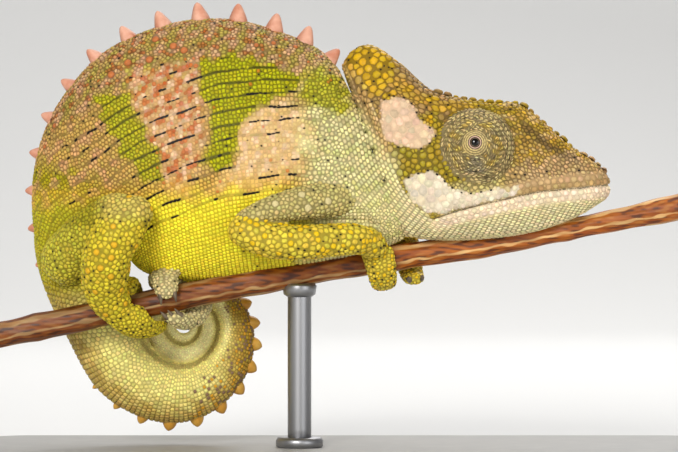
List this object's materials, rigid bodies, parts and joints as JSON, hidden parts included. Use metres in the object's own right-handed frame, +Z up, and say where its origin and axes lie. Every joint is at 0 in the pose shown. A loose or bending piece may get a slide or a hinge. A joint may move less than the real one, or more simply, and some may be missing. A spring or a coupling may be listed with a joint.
{
  "type": "chameleon display model on a twig perch",
  "caption": "Still, life-size chameleon gripping a cut twig, chin resting on it and tail coiled below, held by a flat base and a short rod.",
  "frame": {"origin": "middle of the underside of the stand's base", "axes": "+Z up, +X towards the snout along the base, the animal's left side faces +Y"},
  "size_m": [0.084, 0.04, 0.0519],
  "materials": {
    "head_skin": "dry scaled skin, ochre and olive brown",
    "throat_skin": "dry scaled skin, pale cream",
    "body_skin": "dry scaled skin, salmon, orange and yellow-green",
    "tail_skin": "dry scaled skin, pale yellow with orange tubercles",
    "limb_skin": "dry scaled skin, yellow with black specks",
    "turret_skin": "finely ringed olive skin",
    "eye": "wet, glossy",
    "claw": "satin horn",
    "spine": "dry pink scale cones",
    "bark": "weathered red-brown bark with pale streaks",
    "stand_base": "satin black paint",
    "stand_rod": "satin"
  },
  "bodies": {
    "root": {"head": "head_skin", "lower_jaw": "throat_skin", "neck": "throat_skin", "chest": "body_skin", "abdomen": "body_skin", "pelvis": "body_skin", "tail_1": "tail_skin", "tail_2": "tail_skin", "tail_3": "tail_skin", "tail_4": "tail_skin", "tail_5": "tail_skin", "tail_6": "tail_skin", "tail_7": "tail_skin", "eye_turret_right": "turret_skin", "eye_turret_left": "turret_skin", "eyeball_right": "eye", "eyeball_left": "eye", "upper_arm_right": "limb_skin", "upper_arm_left": "limb_skin", "forearm_right": "limb_skin", "forearm_left": "limb_skin", "hand_right": "limb_skin", "hand_left": "limb_skin", "thigh_right": "limb_skin", "thigh_left": "limb_skin", "shank_right": "limb_skin", "shank_left": "limb_skin", "foot_right": "limb_skin", "foot_left": "limb_skin", "hand_right_outer_toes": "limb_skin", "hand_right_inner_toes": "limb_skin", "hand_left_outer_toes": "limb_skin", "hand_left_inner_toes": "limb_skin", "foot_right_outer_toes": "limb_skin", "foot_right_inner_toes": "limb_skin", "foot_left_upper_toes": "limb_skin", "foot_left_lower_toes": "limb_skin", "perch_twig": "bark", "stand_base": "stand_base", "stand_rod": "stand_rod"}
  },
  "joints": []
}
